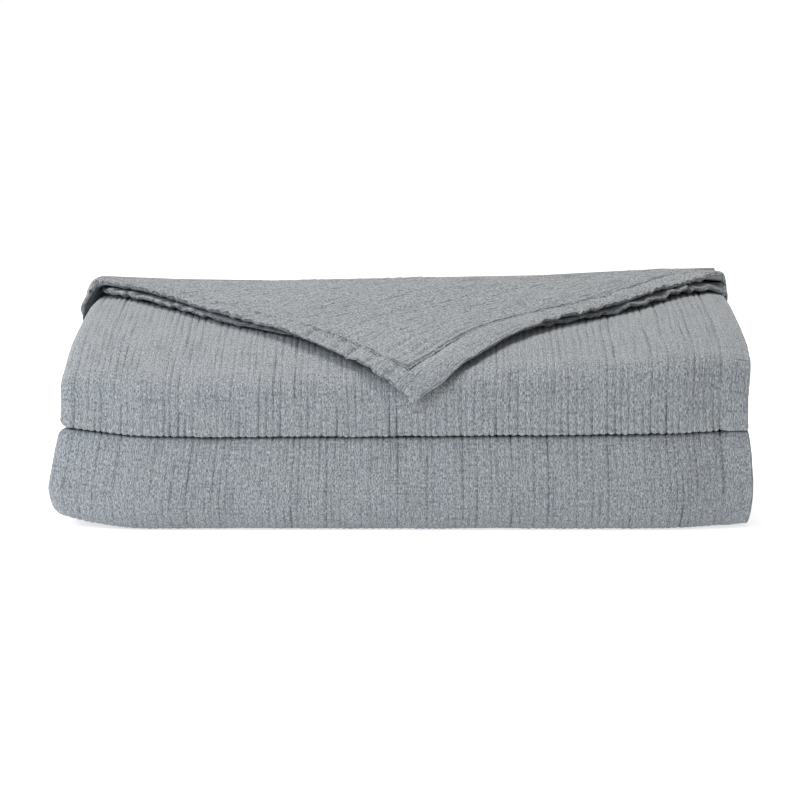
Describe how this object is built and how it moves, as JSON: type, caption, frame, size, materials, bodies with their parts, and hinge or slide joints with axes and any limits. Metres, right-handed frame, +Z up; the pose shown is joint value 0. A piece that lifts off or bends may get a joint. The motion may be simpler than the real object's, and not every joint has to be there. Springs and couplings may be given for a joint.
{
  "type": "quilted coverlet",
  "caption": "Quilted coverlet folded into a low stack with two thick rounded front folds and a doubled, hemmed corner turned over its top.",
  "frame": {"origin": "middle of the base of the folded stack's box, on the surface it rests on", "axes": "+Z up, -Y towards the rounded front folds, +X to the right as seen from the front"},
  "size_m": [0.5972, 0.3398, 0.1933],
  "materials": {
    "cloth": "heathered, puckered cotton weave with fine ribs, matte"
  },
  "bodies": {
    "root": {"coverlet": "cloth"}
  },
  "joints": []
}
